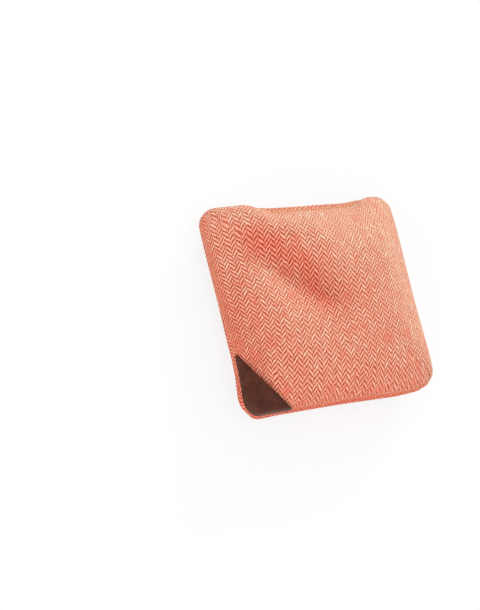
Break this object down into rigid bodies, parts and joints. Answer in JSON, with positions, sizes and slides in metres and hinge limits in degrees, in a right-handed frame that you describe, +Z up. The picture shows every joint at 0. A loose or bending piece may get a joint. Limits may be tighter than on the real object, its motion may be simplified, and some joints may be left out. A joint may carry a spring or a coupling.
{
  "type": "toss bean bag",
  "caption": "Square cloth toss bag of woven panels sewn round an inner pouch of pellets, with a bare triangular label folded over a corner.",
  "frame": {"origin": "on the ground under the middle of the bag, where the flat of its underside rests", "axes": "+Z up through the labelled front panel, +Y towards the side with the closing stitch, +X to the right of it, so the label is at the corner with the lowest X and Y"},
  "size_m": [0.1519, 0.1532, 0.0411],
  "materials": {
    "shell_cloth": "soft two-tone coral herringbone weave, matt",
    "label": "smooth dark brown imitation leather, low sheen",
    "pouch_cloth": "plain natural calico",
    "pellets": "loose pale plastic pellets",
    "shell_thread": "coral sewing thread",
    "pouch_thread": "natural sewing thread"
  },
  "bodies": {
    "root": {"front_panel": "shell_cloth", "back_panel": "shell_cloth", "corner_label": "label", "pouch_front": "pouch_cloth", "pouch_back": "pouch_cloth", "pellet_fill": "pellets", "seam_stitch_front": "shell_thread", "seam_stitch_back": "shell_thread", "safety_stitch_front": "shell_thread", "safety_stitch_back": "shell_thread", "closing_stitch": "shell_thread", "pouch_stitch_front": "pouch_thread", "pouch_stitch_back": "pouch_thread"}
  },
  "joints": []
}
